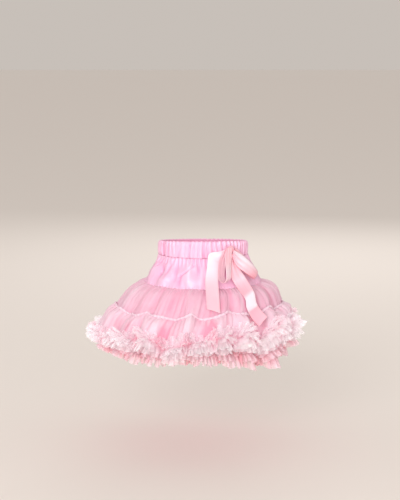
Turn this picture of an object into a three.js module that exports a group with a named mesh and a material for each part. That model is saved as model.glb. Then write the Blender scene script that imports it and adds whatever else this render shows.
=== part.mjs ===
// A child's pettiskirt, as it hangs when worn: a gathered elastic waistband over a satin yoke, two gathered
// net tiers that end in a full two-edged chiffon ruffle, a second net layer under them with a ruffle of its
// own, and a satin ribbon bow.
// Millimetres, +Z up. The front faces -Y, the wearer's left is +X, and the origin is the middle of the waist.

import * as THREE from 'three';

// Cloth thicknesses, with the casing's two layers and its elastic as one wall.
const casingWall = 2.4;
const clothWall = 1.2;
const ribbonThickness = 1.0;
const seamGap = 0.5; // straight up, which leaves about 0.3 between walls that slope

// The seams that set the skirt's shape. height is above the waist, halfWidth and halfDepth are the ring's
// half sizes across and front to back, fold is how far the large folds reach out of it, and sag is its share
// of the hem ruffle's sags.
const seams = {
  waist: { height: 0, halfWidth: 84, halfDepth: 65, fold: 0, sag: 0 },
  casing: { height: -26, halfWidth: 83, halfDepth: 64, fold: 0, sag: 0 },
  yoke: { height: -80, halfWidth: 113, halfDepth: 94, fold: 1.5, sag: 0 },
  tier: { height: -125, halfWidth: 158, halfDepth: 146, fold: 6, sag: 0.1 },
  ruffle: { height: -162, halfWidth: 187, halfDepth: 176, fold: 6, sag: 1 },
  underRuffle: { height: -184, halfWidth: 161.5, halfDepth: 150, fold: 4, sag: 0.1 },
};

// How the skirt hangs on its wearer.
const waistFrontRise = 7; // the casing's top edge rides up over the belly
const hemSwing = -18; // the hem hangs towards the wearer's right
const hemTilt = 7; // and is a little higher on the wearer's left
const ruffleSpread = 0.3; // where the ruffles' edges also stand further apart than on the right
const foldLift = 0.6; // a fold that reaches out also reaches up, as its cloth keeps its length

// Gathers, folds and waves counted round each piece.
const waistGathers = 36;
const yokeFolds = 12;
const ruffleWaves = 42;
const underRuffleWaves = 36;

// The large folds of both net layers: where each crest is round the skirt, in degrees from the front towards
// the wearer's left, and how far it reaches as a share of a full fold.
const crests = [
  { angle: -172, reach: 0.9 },
  { angle: -152, reach: 1.1 },
  { angle: -133, reach: 0.7 },
  { angle: -114, reach: 1.0 },
  { angle: -92, reach: 0.8 },
  { angle: -68, reach: 1.1 },
  { angle: -46, reach: 0.9 },
  { angle: -30, reach: 0.7 },
  { angle: -8, reach: 1.1 },
  { angle: 15, reach: 0.7 },
  { angle: 30, reach: 1.0 },
  { angle: 54, reach: 1.3 },
  { angle: 77, reach: 0.9 },
  { angle: 97, reach: 1.1 },
  { angle: 115, reach: 0.8 },
  { angle: 133, reach: 1.0 },
  { angle: 151, reach: 0.8 },
  { angle: 170, reach: 1.0 },
];

// Where the hem ruffle hangs lower: how far round from the front, how wide in degrees, and by how much.
const sags = [
  { angle: -14, width: 11, drop: 16 },
  { angle: -95, width: 34, drop: 13 },
  { angle: 82, width: 12, drop: 7 },
  { angle: 150, width: 14, drop: 10 },
  { angle: -148, width: 12, drop: 12 },
];

// Each piece's rings from its top edge down. gather is how far its own small gathers reach.
const waistbandRings = [
  { ...seams.waist, gather: 0.8 },
  { height: -6, halfWidth: 86.5, halfDepth: 67.5, fold: 0, sag: 0, gather: 1.7 },
  { height: -19, halfWidth: 86.5, halfDepth: 67.5, fold: 0, sag: 0, gather: 1.7 },
  { ...seams.casing, gather: 0 },
];
const yokeRings = [
  { ...seams.casing, gather: 0 },
  { height: -33, halfWidth: 88, halfDepth: 69.5, fold: 0, sag: 0, gather: 2 },
  { height: -50, halfWidth: 97, halfDepth: 78.5, fold: 0, sag: 0, gather: 3.2 },
  { height: -67, halfWidth: 107, halfDepth: 88, fold: 0.8, sag: 0, gather: 2.6 },
  { ...seams.yoke, gather: 0 },
];
const upperTierRings = [
  { ...seams.yoke, gather: 0 },
  { height: -87, halfWidth: 131, halfDepth: 114, fold: 4, sag: 0, gather: 0 },
  { height: -99, halfWidth: 144, halfDepth: 128, fold: 6, sag: 0, gather: 0 },
  { height: -113, halfWidth: 152, halfDepth: 138, fold: 7.5, sag: 0.05, gather: 0 },
  { ...seams.tier, gather: 0 },
];
const lowerTierRings = [
  { ...seams.tier, gather: 0 },
  { height: -134, halfWidth: 173, halfDepth: 161, fold: 7.5, sag: 0.4, gather: 2.8 },
  { height: -150, halfWidth: 182, halfDepth: 171, fold: 7.5, sag: 0.8, gather: 2.8 },
  { ...seams.ruffle, gather: 0 },
];
const underskirtRings = [
  { height: -76, halfWidth: 106.5, halfDepth: 87.5, fold: 0.8, sag: 0, gather: 0 },
  { height: -86, halfWidth: 111.5, halfDepth: 93, fold: 1.5, sag: 0, gather: 0 },
  { height: -125, halfWidth: 142, halfDepth: 128, fold: 4, sag: 0.1, gather: 0 },
  { height: -160, halfWidth: 156, halfDepth: 143, fold: 4, sag: 0.1, gather: 0 },
  { ...seams.underRuffle, gather: 0 },
];

// A ruffle is one strip sewn along its middle, so that both edges stand out. out and up are measured from
// that stitching, for each ring from the upper edge to the lower one.
const ruffleStrip = [
  { out: 20, up: 14, gather: 5.5 },
  { out: 8, up: 8.5, gather: 2.6 },
  { out: 0, up: 0, gather: 0 },
  { out: 4, up: -7, gather: 1.8 },
  { out: 11, up: -18, gather: 5 },
  { out: 17, up: -30, gather: 6.5 },
];
const underRuffleStrip = [
  { out: 13, up: 9, gather: 4 },
  { out: 0, up: 0, gather: 0 },
  { out: 4, up: -7, gather: 1.8 },
  { out: 11, up: -17, gather: 4.5 },
  { out: 17, up: -27, gather: 6 },
];
const stitchedOver = clothWall + 1.3; // how far a ruffle's stitched middle stands off the net under it

// The ribbon bow, knotted at the casing's stitching in front of the wearer's left hip.
const ribbonWidth = 25;
const knot = { angle: 34.5, height: -12.5, lift: 9, halfWidth: 7.5, halfHeight: 8, halfDepth: 6 };

// Each ribbon piece's centre line. angle is round the skirt, lift is off its surface, slant tips the
// ribbon's width out of level, turn swings it off the surface, and width is how wide the ribbon is there.
const ribbons = {
  bow_loop_left: [
    { angle: 31.5, height: -22, lift: 13, slant: 0, turn: -12, width: 9 },
    { angle: 28, height: -33, lift: 17.5, slant: 0, turn: -34, width: 16 },
    { angle: 24.5, height: -48, lift: 21.5, slant: 0, turn: -48, width: 21 },
    { angle: 22.4, height: -60, lift: 22.5, slant: 0, turn: -52, width: 23 },
    { angle: 20.2, height: -65, lift: 19, slant: 0, turn: -52, width: 23 },
    { angle: 18, height: -60, lift: 15.8, slant: 0, turn: -52, width: 22 },
    { angle: 19.5, height: -46, lift: 14.5, slant: 0, turn: -44, width: 19 },
    { angle: 24.5, height: -32, lift: 11.5, slant: 0, turn: -26, width: 14 },
    { angle: 28.5, height: -22.5, lift: 8.5, slant: 0, turn: -8, width: 8 },
  ],
  bow_loop_right: [
    { angle: 40.5, height: -14, lift: 12, slant: 60, turn: 0, width: 9 },
    { angle: 45, height: -24, lift: 17, slant: 50, turn: -6, width: 20 },
    { angle: 52, height: -40, lift: 19, slant: 44, turn: -10, width: 25 },
    { angle: 59, height: -54, lift: 17, slant: 42, turn: -8, width: 23 },
    { angle: 62.5, height: -61, lift: 12.5, slant: 42, turn: 0, width: 20 },
    { angle: 61.5, height: -57, lift: 9.5, slant: 42, turn: 4, width: 22 },
    { angle: 54, height: -41, lift: 8.5, slant: 44, turn: 6, width: 24 },
    { angle: 46, height: -23, lift: 7.5, slant: 50, turn: 4, width: 17 },
    { angle: 41, height: -12, lift: 8, slant: 60, turn: 0, width: 8 },
  ],
  bow_tail_left: [
    { angle: 27.9, height: -12, lift: 7.3, slant: -50, turn: 0, width: 10 },
    { angle: 21, height: -14, lift: 6.5, slant: -34, turn: 0, width: 20 },
    { angle: 13.5, height: -25, lift: 5.5, slant: -10, turn: 0, width: ribbonWidth },
    { angle: 10.5, height: -44, lift: 6.5, slant: 2, turn: 0, width: ribbonWidth },
    { angle: 8.8, height: -66, lift: 9, slant: 2, turn: 4, width: ribbonWidth },
    { angle: 7.6, height: -90, lift: 10, slant: -3, turn: 6, width: ribbonWidth },
    { angle: 8, height: -112, lift: 10, slant: -7, turn: 6, width: ribbonWidth },
  ],
  bow_tail_right: [
    { angle: 36.5, height: -22, lift: 8, slant: 10, turn: 0, width: 9 },
    { angle: 36.5, height: -40, lift: 8, slant: 16, turn: 0, width: 19 },
    { angle: 38, height: -58, lift: 10, slant: 20, turn: 8, width: ribbonWidth },
    { angle: 39, height: -74, lift: 17, slant: 24, turn: 10, width: ribbonWidth },
    { angle: 38, height: -91, lift: 15, slant: 26, turn: -12, width: ribbonWidth },
    { angle: 38, height: -107, lift: 13, slant: 30, turn: -8, width: ribbonWidth },
    { angle: 39.5, height: -122, lift: 13, slant: 36, turn: 0, width: ribbonWidth },
    { angle: 41, height: -138, lift: 13.5, slant: 36, turn: 0, width: ribbonWidth },
  ],
};

const fullTurn = 2 * Math.PI;
const { degToRad, radToDeg, euclideanModulo, lerp, smoothstep, clamp } = THREE.MathUtils;

const satin = new THREE.MeshStandardMaterial({ color: 0xf9cfe6, roughness: 0.42, metalness: 0 });
const net = new THREE.MeshStandardMaterial({ color: 0xf8bfd6, roughness: 0.8, metalness: 0 });
const deepNet = new THREE.MeshStandardMaterial({ color: 0xf5a3bd, roughness: 0.85, metalness: 0 });
const chiffon = new THREE.MeshStandardMaterial({ color: 0xf7ccdb, roughness: 0.85, metalness: 0 });
const ribbonSatin = new THREE.MeshStandardMaterial({ color: 0xf9bcc8, roughness: 0.3, metalness: 0 });

// The large folds at an angle round the skirt: 1 on a full crest, -1 in a full valley.
function foldWave(angle) {
  const wrapped = crests[0].angle + euclideanModulo(radToDeg(angle) - crests[0].angle, 360);
  let next = crests.findIndex((crest) => crest.angle > wrapped);
  if (next < 0) next = crests.length;
  const from = crests[next - 1];
  const to = next < crests.length ? crests[next] : { ...crests[0], angle: crests[0].angle + 360 };
  const share = (wrapped - from.angle) / (to.angle - from.angle);
  return lerp(from.reach, to.reach, smoothstep(share, 0, 1)) * Math.cos(fullTurn * share);
}

// Where a count of large folds from the first crest has got to, so that gathers are spaced within folds.
function angleOfFold(count) {
  const whole = Math.floor(count);
  const from = crests[whole % crests.length];
  const to = crests[(whole + 1) % crests.length];
  const end = to.angle < from.angle ? to.angle + 360 : to.angle;
  return degToRad(lerp(from.angle, end, count - whole));
}

// Small gathers are a little uneven round the skirt: three wide and narrow stretches in turn.
function angleOfWave(count, total) {
  const even = (fullTurn * count) / total;
  return even + (1.1 / total) * Math.sin(3 * even + 1) + (0.9 / total) * Math.sin(7 * even);
}

// How far the hem ruffle hangs down at an angle, as bell-shaped sags.
function sagAt(angle) {
  const drops = sags.map((sag) => {
    const away = euclideanModulo(radToDeg(angle) - sag.angle + 180, 360) - 180;
    return sag.drop * Math.exp(-((away / sag.width) ** 2));
  });
  return drops.reduce((sum, drop) => sum + drop, 0);
}

// A point on a ring, moved out by its folds. The ring swings and tilts more, the lower it is below the yoke.
function ringPoint(ring, angle) {
  const below = clamp((seams.yoke.height - ring.height) / (seams.yoke.height - seams.ruffle.height), 0, 1);
  const fold = ring.fold * foldWave(angle);
  const nearTop = clamp(1 - ring.height / seams.casing.height, 0, 1);
  const tilt = hemTilt * below * Math.sin(angle) + waistFrontRise * nearTop * Math.cos(angle);
  return new THREE.Vector3(
    hemSwing * below ** 1.5 + ring.halfWidth * Math.sin(angle),
    -ring.halfDepth * Math.cos(angle),
    ring.height + tilt + foldLift * fold - ring.sag * sagAt(angle),
  ).addScaledVector(outwardsAt(ring, angle), fold);
}

// The level direction straight out of a ring.
function outwardsAt(ring, angle) {
  const [x, y] = [ring.halfDepth * Math.sin(angle), -ring.halfWidth * Math.cos(angle)];
  return new THREE.Vector3(x, y, 0).normalize();
}

// Which way the cloth faces between two rings, in the upright plane through its outward direction.
function facing(rings, index, angle) {
  const above = ringPoint({ ...rings[Math.max(index - 1, 0)], fold: 0 }, angle);
  const below = ringPoint({ ...rings[Math.min(index + 1, rings.length - 1)], fold: 0 }, angle);
  const down = below.sub(above);
  const out = outwardsAt(rings[index], angle);
  return out.clone().multiplyScalar(-down.z).add(new THREE.Vector3(0, 0, down.dot(out))).normalize();
}

// Points of a gathered tube of cloth, ring by ring: each ring's point plus its gathers, straight out of the
// cloth. spread opens a ruffle's edges on one side.
function gatheredPoints(rings, steps, angleAt, waveAt) {
  return rings.map((ring, index) =>
    Array.from({ length: steps }, (_, step) => {
      const angle = angleAt(step);
      const gather = ring.gather * waveAt(step);
      const point = ringPoint(ring, angle).addScaledVector(facing(rings, index, angle), gather);
      point.z += (ring.spread ?? 0) * Math.sin(angle);
      return point;
    }),
  );
}

// The rings of a ruffle that is sewn to a seam along its middle.
function ruffleRings(seam, strip) {
  return strip.map(({ out, up, gather }) => ({
    ...seam,
    height: seam.height + up,
    halfWidth: seam.halfWidth + stitchedOver + out,
    halfDepth: seam.halfDepth + stitchedOver + out,
    spread: ruffleSpread * up,
    gather,
  }));
}

// Moves a piece's first or last ring off its seam by half of the gap.
function trimmed(rings, atTop, atBottom) {
  const last = rings.length - 1;
  return rings.map((ring, index) => {
    const cut = (index === 0 && atTop ? -1 : 0) + (index === last && atBottom ? 1 : 0);
    return { ...ring, height: ring.height + (cut * seamGap) / 2 };
  });
}

// Turns rows of surface points into a closed wall: a copy of the surface is moved in along its normals, and
// strips of faces join the two at the edges. wrapped rows close on themselves. Where the cloth bends sharply,
// its normal halves the bend.
function wallOf(rows, thickness, wrapped) {
  const across = rows[0].length;
  const inRow = (column) => (wrapped ? (column + across) % across : clamp(column, 0, across - 1));
  const beside = (row, column) => rows[row][inRow(column)];
  const positions = [];
  const backPositions = [];
  rows.forEach((points, row) =>
    points.forEach((point, column) => {
      const sideways = beside(row, column + 1).clone().sub(beside(row, column - 1));
      const below = rows[Math.min(row + 1, rows.length - 1)][column];
      const above = rows[Math.max(row - 1, 0)][column];
      const intoPoint = point.clone().sub(above).normalize();
      const outOfPoint = below.clone().sub(point).normalize();
      const normal = intoPoint.add(outOfPoint).cross(sideways).normalize();
      positions.push(...point);
      backPositions.push(...point.clone().addScaledVector(normal, -thickness));
    }),
  );
  const back = positions.length / 3;
  const faces = [];
  const quad = (a, b, c, d) => faces.push(a, b, c, a, c, d);
  const columns = wrapped ? across : across - 1;
  for (let row = 0; row < rows.length - 1; row += 1) {
    for (let column = 0; column < columns; column += 1) {
      const [a, b] = [row * across + column, row * across + ((column + 1) % across)];
      const [c, d] = [b + across, a + across];
      quad(a, d, c, b);
      quad(back + a, back + b, back + c, back + d);
    }
  }
  const edge = (a, b) => quad(a, b, back + b, back + a);
  const lastRow = (rows.length - 1) * across;
  for (let column = 0; column < columns; column += 1) {
    const after = (column + 1) % across;
    edge(column, after);
    edge(lastRow + after, lastRow + column);
  }
  if (!wrapped) {
    for (let row = 0; row < rows.length - 1; row += 1) {
      edge((row + 1) * across, row * across);
      edge(row * across + across - 1, (row + 1) * across + across - 1);
    }
  }
  const geometry = new THREE.BufferGeometry();
  geometry.setAttribute('position', new THREE.Float32BufferAttribute([...positions, ...backPositions], 3));
  geometry.setIndex(faces);
  geometry.computeVertexNormals();
  return geometry;
}

// A tube whose gathers are spaced by angleOfWave.
function evenlyGathered(rings, waves, stepsPerWave, thickness) {
  const steps = waves * stepsPerWave;
  const angleAt = (step) => angleOfWave(step / stepsPerWave, waves);
  const waveAt = (step) => Math.cos((fullTurn * step) / stepsPerWave);
  return wallOf(gatheredPoints(rings, steps, angleAt, waveAt), thickness, true);
}

// A tube whose gathers follow the large folds, a few to each fold.
function foldGathered(rings, gathersPerFold, stepsPerGather, thickness) {
  const stepsPerFold = gathersPerFold * stepsPerGather;
  const angleAt = (step) => angleOfFold(step / stepsPerFold);
  const waveAt = (step) => Math.cos((fullTurn * step) / stepsPerGather);
  return wallOf(gatheredPoints(rings, crests.length * stepsPerFold, angleAt, waveAt), thickness, true);
}

// The skirt's outer surface as one profile, for what lies on it.
const laterRings = [yokeRings, upperTierRings, lowerTierRings].flatMap((rings) => rings.slice(1));
const outerProfile = [...waistbandRings, ...laterRings];

// A point off that surface, and the level direction out of it.
function onSkirt({ angle, height, lift }) {
  const below = Math.max(1, outerProfile.findIndex((ring) => ring.height <= height));
  const [above, under] = [outerProfile[below - 1], outerProfile[below]];
  const share = (above.height - height) / (above.height - under.height);
  const between = (name) => lerp(above[name], under[name], share);
  const sizes = { halfWidth: between('halfWidth'), halfDepth: between('halfDepth') };
  const ring = { height, ...sizes, fold: 0, sag: 0 };
  const out = outwardsAt(ring, degToRad(angle));
  return { point: ringPoint(ring, degToRad(angle)).addScaledVector(out, lift), out };
}

// A ribbon along its centre line: three points across at each step, on smooth curves through the
// table's rows.
function ribbonPoints(rows, stepsPerRow) {
  const placed = rows.map((row) => {
    const { point, out } = onSkirt(row);
    const up = new THREE.Vector3(0, 0, 1);
    const [slant, turn] = [degToRad(row.slant), degToRad(row.turn)];
    const flat = up.clone().cross(out).multiplyScalar(Math.cos(slant)).addScaledVector(up, Math.sin(slant));
    const widthWay = flat.multiplyScalar(Math.cos(turn)).addScaledVector(out, Math.sin(turn));
    return { point, half: widthWay.multiplyScalar(row.width / 2) };
  });
  const centre = new THREE.CatmullRomCurve3(placed.map(({ point }) => point), false, 'centripetal');
  const halves = new THREE.CatmullRomCurve3(placed.map(({ half }) => half), false, 'centripetal');
  const steps = (rows.length - 1) * stepsPerRow;
  return Array.from({ length: steps + 1 }, (_, step) => {
    const [point, half] = [centre.getPoint(step / steps), halves.getPoint(step / steps)];
    return [-1, 0, 1].map((side) => point.clone().addScaledVector(half, side));
  });
}

// The knot: a flattened ball of wound ribbon.
function knotGeometry() {
  const geometry = new THREE.SphereGeometry(1, 14, 10);
  geometry.scale(knot.halfWidth, knot.halfDepth, knot.halfHeight);
  geometry.rotateZ(degToRad(knot.angle));
  return geometry.translate(...onSkirt(knot).point);
}

const pettiskirt = new THREE.Group();

function add(name, geometry, material) {
  const mesh = new THREE.Mesh(geometry, material);
  mesh.name = name;
  pettiskirt.add(mesh);
}

// How many steps each gather, fold or wave is drawn with, and the tiers' gathers to a large fold.
const waistSteps = 4;
const yokeSteps = 6;
const tierSteps = { upper: 5, lower: 4, under: 4 };
const tierGathers = { upper: 1, lower: 2, under: 1 };
const ruffleSteps = 4;
const ribbonSteps = 2;

const waistbandPiece = trimmed(waistbandRings, false, true);
const yokePiece = trimmed(yokeRings, true, true);
const upperPiece = trimmed(upperTierRings, true, true);
const lowerPiece = trimmed(lowerTierRings, true, false);
const hemPiece = ruffleRings(seams.ruffle, ruffleStrip);
const underPiece = ruffleRings(seams.underRuffle, underRuffleStrip);

add('waistband', evenlyGathered(waistbandPiece, waistGathers, waistSteps, casingWall), satin);
add('yoke', evenlyGathered(yokePiece, yokeFolds, yokeSteps, clothWall), satin);
add('upper_tier', foldGathered(upperPiece, tierGathers.upper, tierSteps.upper, clothWall), net);
add('lower_tier', foldGathered(lowerPiece, tierGathers.lower, tierSteps.lower, clothWall), net);
add('hem_ruffle', evenlyGathered(hemPiece, ruffleWaves, ruffleSteps, clothWall), chiffon);
add('underskirt', foldGathered(underskirtRings, tierGathers.under, tierSteps.under, clothWall), deepNet);
add('under_ruffle', evenlyGathered(underPiece, underRuffleWaves, ruffleSteps, clothWall), chiffon);
add('bow_knot', knotGeometry(), ribbonSatin);
for (const [name, rows] of Object.entries(ribbons)) {
  add(name, wallOf(ribbonPoints(rows, ribbonSteps), ribbonThickness, false), ribbonSatin);
}

export default pettiskirt;
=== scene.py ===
import math

import bmesh
import bpy
import numpy as np
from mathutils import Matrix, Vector


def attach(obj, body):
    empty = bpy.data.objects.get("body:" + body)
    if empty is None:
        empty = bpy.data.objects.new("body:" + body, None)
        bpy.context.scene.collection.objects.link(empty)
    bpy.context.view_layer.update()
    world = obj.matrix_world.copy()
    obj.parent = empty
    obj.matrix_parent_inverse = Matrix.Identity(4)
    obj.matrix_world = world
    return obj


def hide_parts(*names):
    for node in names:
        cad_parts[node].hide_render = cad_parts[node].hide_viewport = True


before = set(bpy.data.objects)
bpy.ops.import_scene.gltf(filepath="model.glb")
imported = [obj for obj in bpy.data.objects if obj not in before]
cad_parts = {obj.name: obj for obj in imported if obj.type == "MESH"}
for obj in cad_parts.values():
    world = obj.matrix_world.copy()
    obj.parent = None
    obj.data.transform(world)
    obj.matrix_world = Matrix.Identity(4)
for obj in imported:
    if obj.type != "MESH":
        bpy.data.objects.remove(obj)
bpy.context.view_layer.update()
print("frame loaded:", len(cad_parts), "nodes")

mm = 0.001
fullTurn = 2 * np.pi
up = np.array([0.0, 0.0, 1.0])

# how the skirt hangs, in millimetres
hang = {
    "frontRise": 7,  # the casing's top edge rides up over the belly
    "hemSwing": -18,  # the hem hangs towards the wearer's right
    "hemTilt": 7,  # and is a little higher on the wearer's left
    "spread": 0.3,  # where the ruffles' edges also stand further apart
    "foldLift": 0.6,  # a fold that reaches out also reaches up
    "casingHeight": -26,  # stitching below the casing
    "yokeHeight": -80,  # seam below the yoke
    "tierHeight": -125,  # seam between the net tiers
    "tierFade": 15,  # how far above and below that seam its lifts die out
    "hemHeight": -162,  # stitching of the hem ruffle
}

# large folds: degrees from the front towards the wearer's left, share of a full fold
crests = np.array([
    (-172, 0.9), (-152, 1.1), (-133, 0.7), (-114, 1.0), (-92, 0.8), (-68, 1.1),
    (-46, 0.9), (-30, 0.7), (-8, 1.1), (15, 0.7), (30, 1.0), (54, 1.3),
    (77, 0.9), (97, 1.1), (115, 0.8), (133, 1.0), (151, 0.8), (170, 1.0),
])

# where the hem hangs lower, or higher if the drop is negative: degrees round, width in degrees, drop
sags = [(-12, 9, 16), (-29, 8, -5), (41, 6, 9), (-95, 34, 13), (82, 12, 7), (150, 14, 10), (-148, 12, 12)]

# where the seam between the net tiers is drawn up, or down if the lift is negative, in the same order
seamLifts = [
    (-38.5, 4, 9), (-5, 3.2, 6.5), (21, 6, 10), (-47, 3, -3), (53, 4, 5), (76, 5, 1), (95, 16, -7),
    (113, 5, 5), (131, 4, 5), (160, 5, 8), (-170, 4, 6), (-143, 5, 8), (-118, 4, 6), (-92, 5, 4), (-66, 4, 3),
]

# rings from a piece's top to its bottom: height, half width, half depth, fold reach, share of the sags
rings = {
    "waistband": [(0, 84, 65, 0, 0), (-6, 86.3, 67.3, 0, 0), (-20, 86.6, 67.6, 0, 0),
                  (-26, 86.6, 67.6, 0, 0)],
    "yoke": [(-26, 86.2, 67.2, 0, 0), (-29.5, 87.9, 69.1, 0, 0), (-34, 89.7, 71.1, 0, 0),
             (-50, 97, 78.5, 0, 0), (-67, 107, 88, 0.8, 0), (-80, 113, 94, 1.5, 0)],
    "upperTier": [(-80, 113, 94, 1.5, 0), (-87, 131, 114, 4, 0), (-99, 144, 128, 6, 0),
                  (-113, 152, 138, 7.5, 0.05), (-125, 158, 146, 6, 0.1)],
    "lowerTier": [(-125, 158, 146, 6, 0.1), (-134, 173, 161, 7.5, 0.4), (-150, 182, 171, 7.5, 0.8),
                  (-162, 187, 176, 6, 1)],
    "underskirt": [(-76, 106.5, 87.5, 0.8, 0), (-86, 111.5, 93, 1.5, 0), (-125, 142, 128, 4, 0.1),
                   (-160, 156, 143, 4, 0.1), (-184, 161.5, 150, 4, 0.1)],
}


def roundAngles(count):
    # even steps all the way round, from the front
    return np.linspace(0, fullTurn, count, endpoint=False)


def eased(share):
    # 3s^2 - 2s^3, which starts and ends level
    return share * share * (3 - 2 * share)


def cubicThrough(rows, tangents, knots, gaps, steps):
    # the cubic that has these rows and tangents at its knots: with s the share of the way between two knots,
    # the rows count by 2s^3 - 3s^2 + 1 and 3s^2 - 2s^3, and the tangents, times the gap, by s^3 - 2s^2 + s and
    # s^3 - s^2
    at = np.linspace(0, knots[-1], steps)
    span = np.clip(np.searchsorted(knots, at, "right") - 1, 0, len(gaps) - 1)
    width = gaps[span][:, None]
    share = ((at - knots[span]) / gaps[span])[:, None]
    share2, share3 = share**2, share**3
    return (
        (2 * share3 - 3 * share2 + 1) * rows[span]
        + (share3 - 2 * share2 + share) * width * tangents[span]
        + (3 * share2 - 2 * share3) * rows[span + 1]
        + (share3 - share2) * width * tangents[span + 1]
    )


def smoothColumns(table, steps):
    # a monotone cubic through the rows, spaced by the section's own length: each tangent is the harmonic mean
    # of the slopes beside it, or level where they differ in sign
    table = np.array(table, float)
    gaps = np.hypot(np.diff(table[:, 0]), np.diff(table[:, 1]))
    knots = np.concatenate([[0], np.cumsum(gaps)])
    slopes = np.diff(table, axis=0) / gaps[:, None]
    tangents = np.zeros_like(table)
    tangents[0], tangents[-1] = slopes[0], slopes[-1]
    before, after = slopes[:-1], slopes[1:]
    same = before * after > 0
    tangents[1:-1] = np.where(same, 2 * before * after / np.where(same, before + after, 1), 0)
    return cubicThrough(table, tangents, knots, gaps, steps)


def foldWave(angle):
    # from each crest to the next, one less twice a power of the sine, times the crests' reach
    degrees = np.degrees(angle)
    first = crests[0, 0]
    wrapped = first + np.mod(degrees - first, 360)
    starts = crests[:, 0]
    here = np.searchsorted(starts, wrapped, "right") - 1
    nextOne = (here + 1) % len(crests)
    ends = np.where(nextOne == 0, first + 360, starts[nextOne])
    share = (wrapped - starts[here]) / (ends - starts[here])
    blend = eased(share)
    reach = crests[here, 1] * (1 - blend) + crests[nextOne, 1] * blend
    return reach * (1 - 2 * np.abs(np.sin(np.pi * share)) ** 2.3)


def bells(angle, drops):
    # drops added up, each a bell: its height times e to minus the square of the distance over the width
    total = np.zeros_like(angle)
    for centre, width, drop in drops:
        away = np.mod(np.degrees(angle) - centre + 180, 360) - 180
        total = total + drop * np.exp(-((away / width) ** 2))
    return total


def outwards(angle, halfWidth, halfDepth):
    # the level direction straight out of an oval: half depth times sine, and minus half width times cosine
    x, y = halfDepth * np.sin(angle), -halfWidth * np.cos(angle)
    length = np.hypot(x, y)
    return np.stack([x / length, y / length, np.zeros_like(x)], -1)


def onRings(columns, angle, foldScale=1.0):
    # each ring's oval, swung and tilted the more the lower it is, moved out and up by the large folds
    height, halfWidth, halfDepth, foldReach, sagShare = [columns[:, k, None] for k in range(5)]
    angle = np.broadcast_to(angle, (len(columns), angle.shape[-1]))
    below = np.clip((hang["yokeHeight"] - height) / (hang["yokeHeight"] - hang["hemHeight"]), 0, 1)
    nearTop = np.clip(1 - height / hang["casingHeight"], 0, 1)
    fold = foldReach * foldScale * foldWave(angle)
    x = hang["hemSwing"] * below**1.5 + halfWidth * np.sin(angle)
    y = -halfDepth * np.cos(angle)
    z = height + hang["hemTilt"] * below * np.sin(angle) + hang["frontRise"] * nearTop * np.cos(angle)
    z = z + hang["foldLift"] * fold - sagShare * bells(angle, sags)
    z = z + bells(angle, seamLifts) * np.exp(-((height - hang["tierHeight"]) / hang["tierFade"]) ** 2)
    halfWidth, halfDepth = np.broadcast_to(halfWidth, angle.shape), np.broadcast_to(halfDepth, angle.shape)
    return np.stack([x, y, z], -1) + outwards(angle, halfWidth, halfDepth) * fold[..., None]


def faceWay(points):
    # each point's outward normal: the way down the cloth crossed with the way round it
    along = np.roll(points, -1, 1) - np.roll(points, 1, 1)
    down = np.gradient(points, axis=0)
    normal = np.cross(down, along)
    return normal / np.maximum(np.linalg.norm(normal, axis=-1, keepdims=True), 1e-9)


def puffs(angle, count, seed, uneven=0.35, sharp=0.9, drift=0.12):
    # rounded gathers with narrow valleys, from -1 to 1: one less twice a power of half the phase's
    # cosine. The phase runs quicker and slower in turn round the skirt
    random = np.random.default_rng(seed)
    phase = count * angle
    for waves in (2, 3, 5, 9, 14):
        phase = phase + uneven * count / waves * drift * np.sin(waves * angle + random.uniform(0, fullTurn))
    return 1 - 2 * np.abs(np.cos(phase / 2)) ** (2 * sharp)


def softNoise(angle, along, cells, rows, seed):
    # a lattice of random heights from -1 to 1, eased from one to the next, closed round the skirt
    random = np.random.default_rng(seed)
    lattice = random.uniform(-1, 1, (rows + 2, cells))
    column = np.mod(angle / fullTurn, 1) * cells
    row = np.clip(along, 0, 1) * rows
    left, above = np.floor(column).astype(int), np.floor(row).astype(int)
    across, down = eased(column - left), eased(row - above)
    left, right = left % cells, (left + 1) % cells
    upper = lattice[above, left] * (1 - across) + lattice[above, right] * across
    lower = lattice[above + 1, left] * (1 - across) + lattice[above + 1, right] * across
    return upper * (1 - down) + lower * down


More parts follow.
